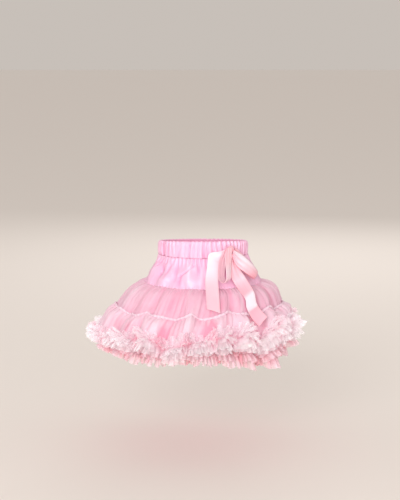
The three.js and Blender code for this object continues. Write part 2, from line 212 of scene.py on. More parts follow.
# meshes
def makePiece(name, points, wrapped, material, closedSection=False):
    # quads between neighbouring rows and columns; the UV map is the cloth's own length in metres
    rows, columns = points.shape[:2]
    points = points * mm
    wide = columns if wrapped else columns - 1
    tall = rows if closedSection else rows - 1
    row, column = np.meshgrid(np.arange(tall), np.arange(wide), indexing="ij")
    nextColumn, nextRow = (column + 1) % columns, (row + 1) % rows
    quads = np.stack([
        row * columns + column, nextRow * columns + column,
        nextRow * columns + nextColumn, row * columns + nextColumn,
    ], -1).reshape(-1, 4)
    closedRows = np.concatenate([points, points[:, :1]], 1)
    closedColumns = np.concatenate([points, points[:1]], 0)
    alongStep = np.linalg.norm(np.diff(closedRows, axis=1), axis=-1).mean(0)
    downStep = np.linalg.norm(np.diff(closedColumns, axis=0), axis=-1).mean(1)
    alongAt = np.concatenate([[0], np.cumsum(alongStep)])
    downAt = np.concatenate([[0], np.cumsum(downStep)])
    uv = np.stack([
        np.stack([alongAt[column + i], downAt[row + j]], -1) for i, j in ((0, 0), (0, 1), (1, 1), (1, 0))
    ], -2).reshape(-1, 2)
    mesh = bpy.data.meshes.new(name)
    mesh.vertices.add(rows * columns)
    mesh.vertices.foreach_set("co", points.ravel())
    mesh.loops.add(quads.size)
    mesh.loops.foreach_set("vertex_index", quads.ravel())
    mesh.polygons.add(len(quads))
    mesh.polygons.foreach_set("loop_start", np.arange(0, quads.size, 4))
    mesh.polygons.foreach_set("use_smooth", np.ones(len(quads), bool))
    mesh.update(calc_edges=True)
    mesh.uv_layers.new(name="cloth").data.foreach_set("uv", uv.ravel())
    mesh.materials.append(material)
    piece = bpy.data.objects.new(name, mesh)
    bpy.context.collection.objects.link(piece)
    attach(piece, "root")
    return piece


def shade(mesh, name, values):
    # a number at each point, which the cloth's colour reads: painted light and shade, with some tone of the
    # cloth's own
    layer = mesh.attributes.new(name, "FLOAT", "POINT")
    layer.data.foreach_set("value", np.asarray(values, np.float32).ravel())


def thicken(piece, thickness, offset=-1):
    # a wall of this thickness in millimetres: offset -1 puts it inside the surface, 0 on both sides of it
    wall = piece.modifiers.new("thickness", "SOLIDIFY")
    wall.thickness = thickness * mm
    wall.offset = offset


def mergeDoubles(mesh):
    # points closer than a thousandth of a millimetre become one
    shape = bmesh.new()
    shape.from_mesh(mesh)
    bmesh.ops.remove_doubles(shape, verts=shape.verts, dist=0.001 * mm)
    shape.to_mesh(mesh)
    shape.free()


# materials
def linear(*srgb):
    # screen colour from 0 to 255, as light: the screen's curve undone
    part = np.array(srgb) / 255
    light = np.where(part <= 0.04045, part / 12.92, ((part + 0.055) / 1.055) ** 2.4)
    return (*light, 1)


def newMaterial(name):
    # the material, its nodes and links, and its shader
    material = bpy.data.materials.new(name)
    material.use_nodes = True
    nodes, links = material.node_tree.nodes, material.node_tree.links
    return material, nodes, links, nodes["Principled BSDF"]


def setSockets(node, values):
    # constants on the node's own sockets
    for socket, value in values.items():
        node.inputs[socket].default_value = value


def ramp(nodes, stops):
    # colours at their positions from 0 to 1, blended between
    node = nodes.new("ShaderNodeValToRGB")
    elements = node.color_ramp.elements
    while len(elements) < len(stops):
        elements.new(0.5)
    for element, (position, colour) in zip(elements, stops):
        element.position, element.color = position, colour
    return node


def objectNoise(nodes, links, scale, detail):
    # soft noise in the object's own coordinates
    coords = nodes.new("ShaderNodeTexCoord")
    noise = nodes.new("ShaderNodeTexNoise")
    setSockets(noise, {"Scale": scale, "Detail": detail})
    links.new(coords.outputs["Object"], noise.inputs["Vector"])
    return noise.outputs["Fac"]


def bumpFrom(nodes, links, height, strength, distance):
    # a bump whose height is this socket
    bump = nodes.new("ShaderNodeBump")
    setSockets(bump, {"Strength": strength, "Distance": distance})
    links.new(height, bump.inputs["Height"])
    return bump


def weaveBump(nodes, links, look):
    # threads both ways, on the cloth's own length: the higher of two sine waves at right angles
    bandAtScaleOne = 0.314  # metres from one band to the next
    uv = nodes.new("ShaderNodeUVMap")
    uv.uv_map = "cloth"
    both = nodes.new("ShaderNodeMath")
    both.operation = "MAXIMUM"
    for place, direction in enumerate(("X", "Y")):
        wave = nodes.new("ShaderNodeTexWave")
        wave.bands_direction = direction
        setSockets(wave, {"Scale": bandAtScaleOne / look["thread"], "Distortion": 0.6, "Detail Scale": 40})
        links.new(uv.outputs["UV"], wave.inputs["Vector"])
        links.new(wave.outputs["Fac"], both.inputs[place])
    return bumpFrom(nodes, links, both.outputs["Value"], look["weave"], look["weaveDepth"])


def laidTones(nodes, links, look):
    # the tone is the number laid at the cloth's points, painted light and shade, plus the spread times soft
    # noise where it drifts
    laid = nodes.new("ShaderNodeAttribute")
    laid.attribute_name = look["laid"]
    tone = laid.outputs["Fac"]
    if "spread" in look:
        drift = nodes.new("ShaderNodeMath")
        drift.operation = "MULTIPLY_ADD"
        drift.inputs[1].default_value = look["spread"]
        links.new(objectNoise(nodes, links, look["patch"], 4), drift.inputs[0])
        links.new(tone, drift.inputs[2])
        tone = drift.outputs["Value"]
    colours = ramp(nodes, look["tones"])
    links.new(tone, colours.inputs["Fac"])
    return colours.outputs["Color"]


def clothMaterial(name, look):
    # laid tones, a sheen, and creases over the weave; cover is how little light passes between the threads
    material, nodes, links, shader = newMaterial(name)
    links.new(laidTones(nodes, links, look), shader.inputs["Base Color"])
    setSockets(shader, {
        "Roughness": look["roughness"], "Specular IOR Level": look["gloss"], "Alpha": look["cover"],
        "Sheen Weight": look["sheen"], "Sheen Roughness": look["sheenRoughness"],
        "Sheen Tint": look["sheenTint"], "Anisotropic": look["brushed"],
    })
    bump = weaveBump(nodes, links, look)
    if "crease" in look:
        creases = objectNoise(nodes, links, look["crease"], 5)
        crinkle = bumpFrom(nodes, links, creases, look["creaseBump"], look["creaseDepth"])
        links.new(bump.outputs["Normal"], crinkle.inputs["Normal"])
        bump = crinkle
    links.new(bump.outputs["Normal"], shader.inputs["Normal"])
    return material


# what each kind of cloth has: lengths in metres, and patch and crease as noise scales
# satin's laid number, sheen, is painted sheen where the cloth stands out and painted shade in folds, pinches and
# hollows, from deep to pale
satin = {
    "laid": "sheen", "cover": 1.0, "brushed": 0.5, "sheenRoughness": 0.35, "sheenTint": linear(255, 236, 244),
    "weave": 0.12, "weaveDepth": 0.00008, "creaseDepth": 0.0012,
}
net = {
    "laid": "tone_and_painted_shade", "patch": 40, "spread": 0.3, "roughness": 0.75, "gloss": 0.2, "brushed": 0,
    "sheen": 0.3, "sheenRoughness": 0.5, "sheenTint": linear(255, 232, 240),
    "thread": 0.0012, "weave": 0.35, "weaveDepth": 0.0002,
}
chiffon = {
    "laid": "shade_from_stitch", "roughness": 0.7, "gloss": 0.25, "brushed": 0,
    "sheen": 0.35, "sheenRoughness": 0.4, "sheenTint": linear(255, 240, 247),
    "thread": 0.0005, "weave": 0.2, "weaveDepth": 0.0001,
    "crease": 380, "creaseBump": 0.3, "creaseDepth": 0.0006,
}

satinPink = clothMaterial("satin_lilac_pink", {
    **satin,
    "tones": [(0.1, linear(226, 150, 188)), (0.5, linear(236, 180, 209)), (0.9, linear(241, 202, 224))],
    "patch": 14, "spread": 0.3, "roughness": 0.42, "gloss": 0.62, "sheen": 0.3, "thread": 0.0004,
    "crease": 60, "creaseBump": 0.35,
})
ribbonPink = clothMaterial("ribbon_salmon_satin", {
    **satin,
    "tones": [(0.05, linear(242, 166, 182)), (0.5, linear(244, 190, 203)), (1.0, linear(246, 222, 232))],
    "patch": 60, "spread": 0.1, "roughness": 0.3, "gloss": 0.7, "sheen": 0.2, "thread": 0.0003,
    "crease": 30, "creaseBump": 0.15,
})
netPink = clothMaterial("net_pink", {
    **net, "cover": 0.64,
    "tones": [(0.1, linear(244, 218, 232)), (0.5, linear(243, 199, 219)), (1.0, linear(241, 168, 194))],
})
netPale = clothMaterial("net_pale_pink", {
    **net, "cover": 0.72,
    "tones": [(0.1, linear(247, 228, 239)), (0.5, linear(245, 212, 227)), (1.0, linear(242, 166, 190))],
})
netDeep = clothMaterial("net_deep_pink", {
    **net, "cover": 1.0,
    "tones": [(0.1, linear(248, 180, 203)), (1.0, linear(245, 158, 186))],
})
# chiffon tones: deep at 0, painted shade at the stitching, to nearly white at 1, the edge
rufflePink = clothMaterial("chiffon_pale_pink", {
    **chiffon, "cover": 0.34,
    "tones": [(0.0, linear(252, 186, 202)), (0.2, linear(254, 222, 233)), (0.45, linear(255, 242, 249)),
              (1.0, linear(255, 251, 255))],
})
ruffleDeep = clothMaterial("chiffon_salmon_pink", {
    **chiffon, "cover": 0.55,
    "tones": [(0.0, linear(244, 144, 160)), (0.4, linear(248, 190, 202)), (1.0, linear(249, 220, 230))],
})
print("materials made")

# elastic casing
waistbandPlan = {
    "columns": 1080, "rows": 14, "gathers": 56, "reach": 1.7, "uneven": 0.6, "sharp": 1.4, "wobble": 0.014,
    "fine": 0.5, "wall": 2.4, "follow": 0.35, "scallop": 0.9, "lift": 0.8,
    # painted sheen and shade: the middle, the shares of gathers, fine noise and pinches, and the inside; crests
    # paler, pinches and inside deeper
    "paintedSheenMiddle": 0.46, "paintedSheenGathers": 0.13, "paintedSheenFine": 0.1, "paintedShadePinches": 0.27, "paintedShadeInside": 0.2,
    # pinches: degrees round, width in degrees, depth
    "pinches": [(-61, 3, 2.4), (-52, 2, 1.2), (-70, 2.5, 1.4), (2, 2.5, 1.3), (58, 2.5, 1.5), (69, 2.5, 2.0),
                (-18, 2, 1.0), (-34, 2, 1.1), (14, 2, 1.1), (95, 3, 1.6), (132, 3, 2.0), (171, 3, 1.6),
                (-104, 3, 2.0), (-141, 3, 1.6)],
}


def buildWaistband(plan):
    # the section runs down the outside and up the inside, carried round the waist. Gathers are puffs times
    # noise, held down at both edges by the root of a sine, with fine noise on them and bells pinched in.
    angle = roundAngles(plan["columns"])[None]
    columns = smoothColumns(rings["waistband"], plan["rows"])
    outer = onRings(columns, angle)
    t = np.linspace(0, 1, plan["rows"])[:, None]
    hold = np.sin(np.pi * t) ** 0.5 * 0.7 + 0.3
    wobble = angle + plan["wobble"] * np.sin(3 * t + 5 * angle)
    gathers = puffs(wobble, plan["gathers"], 4, plan["uneven"], plan["sharp"]) * plan["reach"] * hold
    gathers = gathers * (0.8 + 0.5 * softNoise(angle, t, 11, 2, 7) + 0.35 * softNoise(angle, t, 46, 3, 8))
    gathers = gathers * (0.85 + 0.25 * np.sin(angle))  # stronger on the bow's side
    fine = softNoise(angle, t, 230, 4, 9) * plan["fine"]
    pinched = bells(angle, plan["pinches"]) * (0.5 + 0.5 * t)
    outer = outer + faceWay(outer) * (gathers + fine - pinched)[..., None]
    outer[..., 2] += plan["scallop"] * gathers / plan["reach"] * (1 - t) ** 3 + plan["lift"] * pinched * t**3
    inner = onRings(columns, angle)
    inner = inner - faceWay(inner) * (plan["wall"] - plan["follow"] * gathers)[..., None]
    section = np.concatenate([outer, inner[::-1]], 0)
    piece = makePiece("waistband_casing", section, True, satinPink, closedSection=True)
    # painted light and shade following the relief: paler on gathers and fine bumps, deeper in their valleys, the
    # pinches and the inside wall
    tones = plan["paintedSheenMiddle"] + plan["paintedSheenGathers"] * gathers + plan["paintedSheenFine"] * fine
    tones = tones - plan["paintedShadePinches"] * pinched
    shade(piece.data, "sheen", np.concatenate([tones, np.full_like(tones, plan["paintedShadeInside"])], 0))
    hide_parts("waistband")


# hip yoke
yokePlan = {
    "columns": 760, "rows": 40, "folds": 12, "foldReach": 2.8, "topGathers": 64, "topReach": 1.3,
    "drape": 2.0, "fine": 0.45, "puckers": 96, "puckerReach": 0.7, "scallops": 64, "scallop": 0.8,
    "radius": 100,  # which turns a crease's width into degrees
    "thickness": 0.5,
}

# creases: degrees and height at the top, degrees and height at the bottom, width, depth
yokeCreases = [
    (-9, -35, -20, -53, 3.0, 2.8), (-18, -48, -27, -60, 3.2, 2.8), (-26, -54, -25, -78, 3.6, 2.8),
    (-5, -32, -5, -56, 2.4, 2.6), (-16, -32, -15, -80, 5.0, -2.4), (-1, -38, -2, -78, 4.4, -2.0),
    (-33, -34, -31, -70, 3.4, 2.2), (-41, -31, -46, -68, 4.2, 2.8), (5, -31, 8, -62, 3.0, 2.0),
    (-57, -27, -72, -50, 2.2, 3.6), (-64, -29, -79, -54, 2.4, 3.2), (-51, -30, -56, -62, 3.2, 2.4),
    (30, -40, 34, -74, 4.0, 2.0),
    (44, -34, 50, -72, 3.6, 2.0), (58, -36, 62, -74, 4.2, 2.2), (72, -32, 70, -64, 3.4, 1.7),
    (88, -36, 93, -72, 4.0, 2.2), (104, -32, 100, -58, 3.2, 1.6), (119, -38, 126, -74, 4.4, 2.1),
    (141, -33, 137, -66, 3.4, 1.8), (158, -36, 163, -73, 4.0, 2.3), (176, -32, 180, -60, 3.4, 1.6),
    (-58, -34, -54, -70, 4.0, 2.0), (-74, -36, -79, -72, 4.2, 2.3), (-91, -32, -88, -62, 3.2, 1.6),
    (-107, -36, -113, -73, 4.2, 2.2), (-126, -33, -121, -66, 3.6, 1.8), (-146, -37, -151, -74, 4.2, 2.2),
    (-166, -32, -163, -60, 3.2, 1.6),
]


def creaseField(angle, height, creases, radius):
    # each crease is a bell-shaped trough about a straight line, fading to nothing at both ends
    field = np.zeros(np.broadcast(angle, height).shape)
    degrees = np.degrees(angle)
    for topAngle, topHeight, endAngle, endHeight, width, depth in creases:
        share = (height - topHeight) / (endHeight - topHeight)
        line = topAngle + (endAngle - topAngle) * share
        away = (np.mod(degrees - line + 180, 360) - 180) * np.pi / 180 * radius
        fade = np.clip(np.sin(np.pi * np.clip(share, 0, 1)), 0, 1) ** 0.7
        field = field - depth * fade * np.exp(-((away / width) ** 2))
    return field


def buildYoke(plan):
    # the ring surface. Puffs under the stitching fade as a bell, soft folds and noise swell between the seams
    # as a sine, the creases sink, and the net's seam puckers the lower edge.
    angle = roundAngles(plan["columns"])[None]
    columns = smoothColumns(rings["yoke"], plan["rows"])
    points = onRings(columns, angle)
    t = np.linspace(0, 1, plan["rows"])[:, None]
    middle = np.sin(np.pi * t) ** 0.8
    top = puffs(angle, plan["topGathers"], 12) * plan["topReach"] * np.exp(-((t - 0.07) / 0.16) ** 2)
    top = top * (0.7 + 0.8 * softNoise(angle, t, 17, 2, 23))
    lean = angle + 0.05 * t * np.sin(4 * angle)
    soft = puffs(lean, plan["folds"], 3, 0.5, 0.7) * plan["foldReach"] * middle
    drape = softNoise(angle, t, 34, 4, 21) * plan["drape"] * middle
    drape = drape + softNoise(angle, t, 90, 7, 22) * plan["fine"]
    pucker = puffs(angle, plan["puckers"], 17) * plan["puckerReach"] * np.exp(-((1 - t) / 0.05) ** 2)
    creases = creaseField(angle, columns[:, 0, None], yokeCreases, plan["radius"])
    points = points + faceWay(points) * (top + soft + drape + creases + pucker)[..., None]
    points[-1, :, 2] -= plan["scallop"] * (1 + puffs(angle[0], plan["scallops"], 19))
    piece = makePiece("hip_yoke", points, True, satinPink)
    # painted sheen and shade following the relief: paler on the gathers under the stitching, the soft folds and
    # the puckers, deeper in the creases
    sheen = 0.42 + 0.14 * top + 0.11 * creases + 0.035 * (soft + drape) + 0.1 * pucker
    shade(piece.data, "sheen", sheen)
    thicken(piece, plan["thickness"])
    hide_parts("yoke")


# net tiers
def shadeAndLightField(angle, height, shadeAndLightPatches):
    # patches of painted shade, deeper, or of painted light, paler, if negative: each has a flat-topped bell
    # across it, about a line that leans with the cloth, and another down its length
    field = np.zeros(np.broadcast(angle, height).shape)
    for topAngle, footAngle, topHeight, footHeight, width, strength in shadeAndLightPatches:
        share = np.clip((height - topHeight) / (footHeight - topHeight), -1, 2)
        away = np.mod(np.degrees(angle) - topAngle - (footAngle - topAngle) * share + 180, 360) - 180
        fade = np.exp(-((share - 0.5) / 0.5) ** 4)
        field = field + strength * fade * np.exp(-np.abs(away / width) ** 2.5)
    return field


# what the net tiers share
tierLook = {
    "lean": 0.03,  # how far the gathers lean on their way down, in radians
    "topFade": 0.3, "endFade": 0.25,  # how far each seam's fine gathers run, as a share of the tier
    "seamShare": 0.06,  # beside a seam the folds are held down
    "atSeam": 0.35, "offSeam": 0.65,  # what is left of them at it, and what the rest adds
    "markDip": 3.2,  # how far a full mark sinks
    # the tone: a base, random streaks, painted shade in the gathers' valleys and painted light on their crests,
    # and the patches' painted shade
    "tone": 0.34, "streakTone": 0.17, "paintedGatherShade": 0.05, "paintedPatchTone": 0.8, "markStreaks": 0.5,
}


def buildTier(name, node, ringName, plan, material):
    # the ring surface with its large folds. Puffs at each seam fade exponentially, wide puffs and noise swell
    # between the seams as a sine, streaks run down, and the patches sink. Tones follow the same numbers, as
    # painted shade.
    angle = roundAngles(plan["columns"])[None]
    columns = smoothColumns(rings[ringName], plan["rows"])
    points = onRings(columns, angle, plan["foldScale"])
    seed, look = plan["seed"], tierLook
    t = np.linspace(0, 1, plan["rows"])[:, None]
    lean = angle + look["lean"] * t * np.sin(3 * angle + 1)
    top = puffs(angle, plan["topGathers"], seed) * plan["topReach"] * np.exp(-t / look["topFade"])
    middle = puffs(lean, plan["gathers"], seed + 1, 0.7) * plan["reach"] * np.sin(np.pi * t) ** 0.7
    middle = middle + softNoise(lean, t * 0.5, plan["gathers"] + 17, 2, seed + 5) * plan["drape"]
    bottom = puffs(lean, plan["endGathers"], seed + 2) * plan["endReach"] * np.exp(-(1 - t) / look["endFade"])
    streaks = softNoise(lean, t * 0.6, plan["streaks"], 2, seed + 3) * plan["streakReach"]
    seamHold = np.clip(t / look["seamShare"], 0, 1) * np.clip((1 - t) / look["seamShare"], 0, 1)
    shadeAndLightPatches = shadeAndLightField(angle, columns[:, 0, None], plan["shadeAndLightPatches"])
    field = top + middle + bottom + streaks - look["markDip"] * shadeAndLightPatches
    field = field * (look["atSeam"] + look["offSeam"] * seamHold)
    points = points + faceWay(points) * field[..., None]
    piece = makePiece(name, points, True, material)
    # tones: random streaks, with painted light and shade from the gathers, the large folds and the patches
    streakTone = softNoise(lean, t * 0.7, plan["streaks"], 2, seed + 4)
    tone = look["tone"] + look["streakTone"] * streakTone - look["paintedGatherShade"] * middle
    tone = tone - plan["valley"] * foldWave(angle)
    shade(piece.data, "tone_and_painted_shade", tone + shadeAndLightPatches * (look["paintedPatchTone"] + look["markStreaks"] * streakTone))
    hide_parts(node)
    return piece, points


upperPlan = {
    "columns": 1080, "rows": 40, "foldScale": 0.55, "topGathers": 110, "topReach": 0.8, "gathers": 46,
    "reach": 0.9, "drape": 1.6, "endGathers": 90, "endReach": 1.0, "streaks": 250, "streakReach": 0.6,
    "seed": 40,
    "valley": 0.1,  # painted shade: how much deeper the tone is in the large folds' valleys, and painted light, paler, on their crests
    # painted shade, or painted light if negative: degrees at the top and foot, height at the top and foot, width
    # in degrees, how deep
    "shadeAndLightPatches": [
        (14, 15, -90, -122, 7, 0.35), (31, 36, -88, -122, 5, 0.4), (-4, -6, -92, -120, 3, 0.25),
        (-22, -25, -90, -118, 4, 0.2), (-62, -64, -84, -122, 14, -0.3), (-40, -42, -92, -120, 5, 0.25),
        (70, 72, -90, -120, 5, 0.2), (89, 90, -90, -122, 4, 0.3), (107, 110, -88, -120, 6, 0.2),
        (139, 140, -90, -122, 4, 0.3), (154, 152, -90, -116, 7, 0.2), (-99, -101, -90, -122, 5, 0.3),
        (-117, -118, -90, -120, 6, 0.2), (-143, -146, -88, -122, 4, 0.3), (-170, -169, -90, -120, 6, 0.2),
    ],
}
lowerPlan = {
    "columns": 1080, "rows": 34, "foldScale": 0.85, "topGathers": 120, "topReach": 1.3, "gathers": 40,
    "reach": 1.5, "drape": 2.0, "endGathers": 110, "endReach": 1.2, "streaks": 260, "streakReach": 0.6,
    "seed": 60, "valley": 0.07,
    "shadeAndLightPatches": [
        (7.5, 8, -128, -160, 4.6, 0.55), (-1, -1, -128, -156, 4, -0.25), (33, 43, -120, -168, 3.2, 0.8),
        (-19, -22, -134, -174, 4.6, 0.45), (-45, -47, -134, -160, 6, 0.3), (27, 28, -128, -156, 4.5, -0.1),
        (-33, -34, -130, -160, 4, -0.15), (-60, -63, -130, -160, 3, 0.25),
        (64, 66, -130, -158, 3.4, 0.35), (86, 88, -130, -160, 5, 0.25), (105, 106, -132, -158, 3, 0.45),
        (124, 127, -130, -160, 4.4, 0.3), (143, 142, -132, -160, 3, 0.5), (161, 164, -130, -160, 5, 0.3),
        (-79, -81, -130, -164, 3, 0.45), (-100, -103, -130, -162, 4.6, 0.25),
        (-124, -125, -132, -166, 3.4, 0.5),
        (-139, -142, -130, -160, 5, 0.25), (-159, -160, -130, -162, 3, 0.45), (178, 179, -130, -160, 4, 0.3),
    ],
}
underPlan = {
    "columns": 540, "rows": 40, "foldScale": 1.0, "topGathers": 90, "topReach": 0.5, "gathers": 40,
    "reach": 1.5, "drape": 0, "endGathers": 80, "endReach": 0.8, "streaks": 120, "streakReach": 0.4,
    "seed": 80, "valley": 0, "shadeAndLightPatches": [],
}


rollPlan = {
    "columns": 1300, "sides": 8, "radius": 1.7, "tall": 1.5, "off": 1.8, "foldScale": 0.85, "seed": 90,
    "puckers": 130, "puckerSize": 0.12, "puckerOut": 0.25, "lumps": 130, "lumpSize": 0.25,
    "drifts": 90, "driftUp": 0.8, "tone": 0.2, "paintedPuckerLight": 0.1,
}


def seamRoll(name, ringRow, plan, material):
    # the gathered seam allowance: an oval section carried round the seam, its size and its distance out
    # puckered by puffs, and its size and height uneven by noise
    angle, seed = roundAngles(plan["columns"]), plan["seed"]
    level = np.zeros_like(angle)
    turnBy = roundAngles(plan["sides"])[:, None]
    centre = onRings(np.array([ringRow], float), angle[None], plan["foldScale"])[0]
    out = outwards(angle, np.full_like(angle, ringRow[1]), np.full_like(angle, ringRow[2]))
    pucker = puffs(angle, plan["puckers"], seed)
    lumps = softNoise(angle, level, plan["lumps"], 1, seed + 1)
    size = plan["radius"] * (1 + plan["puckerSize"] * pucker + plan["lumpSize"] * lumps)
    centre = centre + out * (plan["off"] + plan["puckerOut"] * pucker)[:, None]
    centre = centre + up * (plan["driftUp"] * softNoise(angle, level, plan["drifts"], 1, seed + 2))[:, None]
    points = centre[None] + size[None, :, None] * (
        np.cos(turnBy)[..., None] * out[None] + plan["tall"] * np.sin(turnBy)[..., None] * up
    )
    points = points[::-1]
    piece = makePiece(name, points, True, material, closedSection=True)
    # painted light: the roll's tone is paler where it puckers out and deeper between
    shade(piece.data, "tone_and_painted_shade", np.full(points.shape[:2], plan["tone"]) - plan["paintedPuckerLight"] * pucker[None])
    return piece


# ruffles
def unevenPhase(angle, count, random, share=0.13):
    # count turns round the skirt, plus sines that make it quicker and slower in stretches
    phase = count * angle + random.uniform(0, fullTurn)
    for waves in (5, 9, 16, 27):
        phase = phase + share * count / waves * np.sin(waves * angle + random.uniform(0, fullTurn))
    return phase


# what all flounces share
flounceLook = {
    "puffSharp": 2.6,  # the power of the sine that makes puffs broad and the bunches between them narrow
    "sizes": 0.3, "ragged": 0.04, "drift": 0.08,  # how uneven petals, the edge and the width are
    "foldWiden": 0.06, "foldTilt": 4,  # a large fold's crest is wider and tilts up, in degrees
    "notchSharp": 8, "notchDip": 3,  # how narrow the notches between lobes are, and how far they sink
}


def flounce(angle, seam, half, plan, seed):
    # One edge of the strip. It leaves the stitching at its own rise and curls over its width. Puffs are fans:
    # the cloth spreads sideways as a sine and bunches between them, where it overlaps, and each fan's middle
    # reaches further, turns outwards and stands proud. Petals wave across the cloth as a sine that grows from
    # nothing at the stitching, and sway along it as minus the sine of twice their phase. Lobes are parted by
    # notches, a high power of a cosine. The width changes with the side, as the square of a sine, and at the
    # low tops. Fine pleats stand on all.
    random = np.random.default_rng(seed)
    look = flounceLook
    level = np.zeros_like(angle)
    base = onRings(np.array([seam], float), angle[None])[0]
    out = outwards(angle, np.full_like(angle, seam[1]), np.full_like(angle, seam[2]))
    side = np.cross(up, out)
    fold = foldWave(angle)
    t = np.linspace(0, 1, plan["rows"])[:, None]
    base[:, 2] -= bells(angle, plan["dips"])
    upwards = half["rise"] + half["curl"] / 2 > 0
    outSide = -1 if upwards else 1  # which side of the cloth faces away from the wearer

    petalPhase = unevenPhase(angle, plan["petals"], random)
    puffPhase = unevenPhase(angle, plan["puffs"], np.random.default_rng(plan["puffSeed"])) + half["shift"]
    puff = 1 - 2 * np.abs(np.sin(puffPhase / 2)) ** look["puffSharp"]
    size = 1 + look["sizes"] * softNoise(angle, level, plan["petals"] // 2, 1, seed + 1)
    ragged = 1 + look["ragged"] * softNoise(angle, level, plan["columns"] // 5, 1, seed + 2)
    width = half["width"] * ragged * (1 + plan["roundness"] * puff + look["foldWiden"] * fold)
    notch = np.abs(np.cos(unevenPhase(angle, plan["lobes"], random) / 2)) ** look["notchSharp"]
    drift = look["drift"] * softNoise(angle, level, 31, 1, seed + 3)
    width = width * (1 + drift - plan["lobeDepth"] * notch)
    sides = plan["upperSides" if upwards else "lowerSides"]
    width = width * (1 + (np.where(angle < np.pi, *sides) - 1) * np.sin(angle) ** 2)
    width = width * (1 - bells(angle, plan["lowTops"]) * upwards)
    opened = 1 + hang["spread"] * np.sin(angle)
    tilt = half["tilt"] * softNoise(angle, level, 22, 1, seed + 4) + look["foldTilt"] * fold
    tilt = tilt + plan["scatter"] * softNoise(angle, level, plan["petals"], 1, seed + 7)
    tilt = tilt + plan["puffTurn"] * puff * outSide
    lean = np.radians((half["rise"] + half["curl"] * t) * opened + tilt)
    step = width / (plan["rows"] - 1)
    nothing = np.zeros((1, len(angle)))
    along = np.concatenate([nothing, np.cumsum((np.cos(lean) * step)[1:], 0)], 0)
    rise = np.concatenate([nothing, np.cumsum((np.sin(lean) * step)[1:], 0)], 0)

    across = half["petal"] * size * t**0.8 * np.sin(petalPhase)
    across = across + outSide * t * (half["proud"] * puff - look["notchDip"] * notch)
    sideways = plan["fan"] * t * np.sin(puffPhase) - half["sway"] * size * t * np.sin(2 * petalPhase)
    points = (
        base[None]
        + out[None] * (plan["off"] + along - np.sin(lean) * across)[..., None]
        + up * (rise + np.cos(lean) * across)[..., None]
        + side[None] * sideways[..., None]
    )
    crinkle = softNoise(angle, t, plan["pleats"], 2, seed + 5)
    crinkle = crinkle + 0.6 * np.sin(unevenPhase(angle, plan["pleats"], random))
    # painted shade: low, deep, at the stitching and in the bunches between puffs, high, pale, at the edge and on
    # the puffs
    depth = t**0.7 * (0.6 + 0.4 * puff)
    return points + faceWay(points) * (plan["pleat"] * crinkle * t**0.6)[..., None], depth


def buildRuffle(name, seam, halves, plan, material, seed):
    # the strip's upper flounce from its edge down to the stitching, then the lower one to its edge
    angle = roundAngles(plan["columns"])
    upper, lower = [dict(zip(flounceValues, values)) for values in halves]
    upperPoints, upperDepth = flounce(angle, seam, upper, plan, seed)
    lowerPoints, lowerDepth = flounce(angle, seam, lower, plan, seed + 10)
    points = np.concatenate([upperPoints[::-1], lowerPoints[1:]], 0)
    depth = np.concatenate([upperDepth[::-1], lowerDepth[1:]], 0)
    piece = makePiece(name, points, True, material)
    shade(piece.data, "shade_from_stitch", depth)
    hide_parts(plan["node"])


hemSeam = rings["lowerTier"][-1]
underSeam = rings["underskirt"][-1]

# degrees of rise at the stitching, degrees it curls, width, how far puffs stand proud, how far petals wave
# and sway, degrees of uneven tilt, and how far round its puffs are shifted
flounceValues = ("rise", "curl", "width", "proud", "petal", "sway", "tilt", "shift")

hemRuffle = {
    "node": "hem_ruffle", "restsOn": "lower_net_tier", "columns": 2400, "rows": 10,
    "puffs": 25, "puffSeed": 5, "fan": 5.5, "roundness": 0.17, "puffTurn": 13, "petals": 124, "pleats": 380,
    "pleat": 0.3, "off": 2.0, "scatter": 5, "lobes": 76, "lobeDepth": 0.12, "dips": [],
    # how wide the flounces are at the wearer's left and right, and where the upper one is narrower:
    # degrees round, width in degrees, share
    "upperSides": (0.9, 0.8), "lowerSides": (0.95, 0.6),
    "lowTops": [(5, 6, 0.4), (41, 6, 0.7), (-22, 6, 0.25), (-112, 20, 0.5), (104, 22, 0.45)],
    # each strip's upper and lower flounce, in the order of flounceValues
    "strips": [
        [(106, -56, 27, 3.0, 3.8, 1.5, 7, 0), (-58, -20, 28, 4.0, 5.0, 1.7, 9, 0)],
        [(80, -62, 28, 3.5, 4.2, 1.6, 7, 0.5), (-24, -38, 26, 4.0, 4.4, 1.6, 7, 0.4)],
        [(50, -62, 26, 3.5, 4.2, 1.6, 7, -0.5), (8, -48, 24, 4.0, 4.4, 1.6, 7, -0.4)],
    ],
}
underRuffle = {
    "node": "under_ruffle", "restsOn": "under_net_layer", "columns": 2160, "rows": 10,
    "puffs": 23, "puffSeed": 6, "fan": 4.5, "roundness": 0.2, "puffTurn": 12, "petals": 150, "pleats": 360,
    "pleat": 0.6, "off": 2.0, "scatter": 9, "lobes": 70, "lobeDepth": 0.15, "dips": [(50, 22, 15)],
    "upperSides": (1.2, 0.72), "lowerSides": (1.35, 0.68), "lowTops": [],
    "strips": [
        [(60, -60, 18, 2.5, 3.6, 1.5, 8, 0), (-46, -30, 31, 4.5, 6.0, 1.8, 12, 0)],
        [(16, -50, 22, 2.5, 4.4, 1.8, 8, 0.6), (-12, -48, 25, 4.0, 6.0, 1.8, 12, 1.6)],
        [(30, -50, 16, 2.5, 4.2, 1.5, 8, 2.6), (10, -56, 20, 4.0, 5.6, 1.8, 12, 3.2)],
    ],
}

# ribbon bow
knotPlan = {
    "angle": 34.2, "height": -12, "lift": 8.5, "halfWidth": 7, "halfHeight": 7.5, "halfDepth": 4.8,
    "columns": 72, "rows": 40, "open": 0.02, "sheen": 0.15,
}

